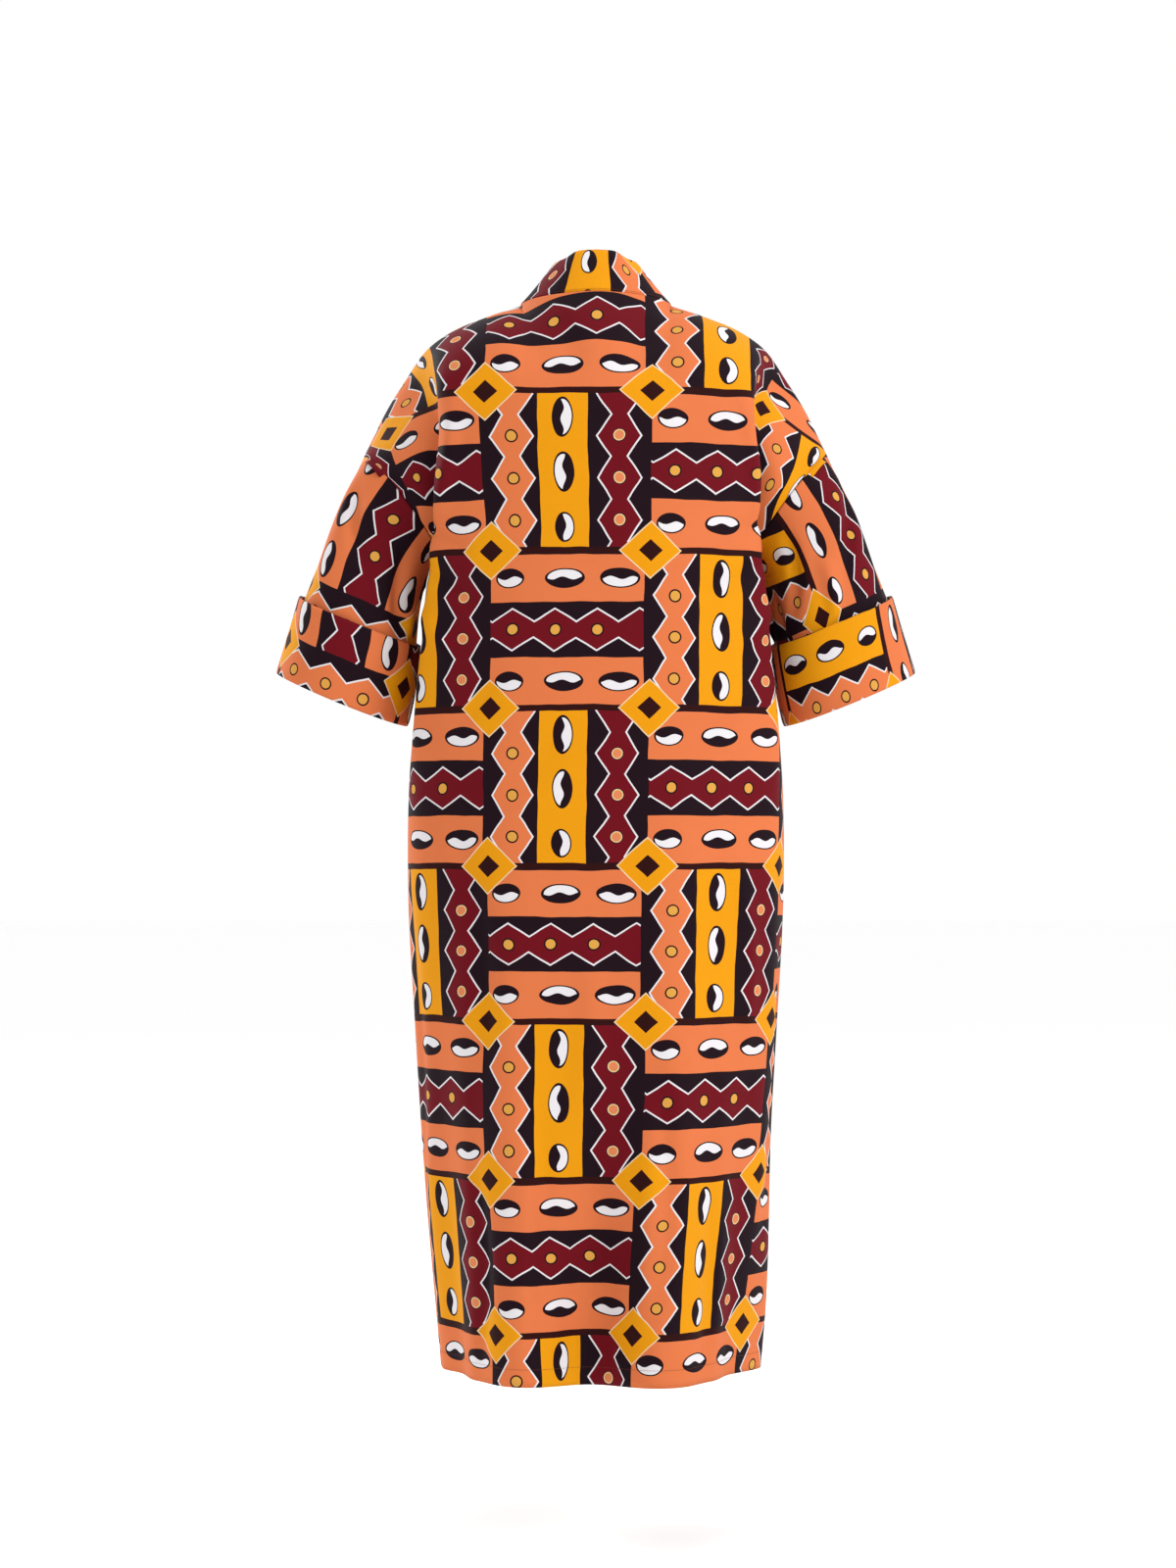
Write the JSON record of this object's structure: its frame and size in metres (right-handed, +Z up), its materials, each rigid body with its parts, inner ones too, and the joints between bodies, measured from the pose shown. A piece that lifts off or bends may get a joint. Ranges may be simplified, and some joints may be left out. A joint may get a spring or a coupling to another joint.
{
  "type": "open kimono robe",
  "caption": "Long open kimono robe in printed cotton, worn form and hollow: drop shoulders, wide half-length sleeves with turned-back cuffs, and one long collar band.",
  "frame": {"origin": "centre of the neck, on the garment's upright axis, level with the seam at the back of the neck: where the wearer's neck and shoulders hold the robe", "axes": "+Z up along the back, -Y out of the open front, +X towards the wearer's left sleeve"},
  "size_m": [0.8028, 0.4153, 1.3804],
  "materials": {
    "printed_cotton": "matt printed cotton, the print showing on both sides"
  },
  "bodies": {
    "root": {"back_panel": "printed_cotton", "front_left": "printed_cotton", "front_right": "printed_cotton", "sleeve_left": "printed_cotton", "sleeve_right": "printed_cotton", "cuff_left": "printed_cotton", "cuff_right": "printed_cotton", "collar_band": "printed_cotton"}
  },
  "joints": []
}
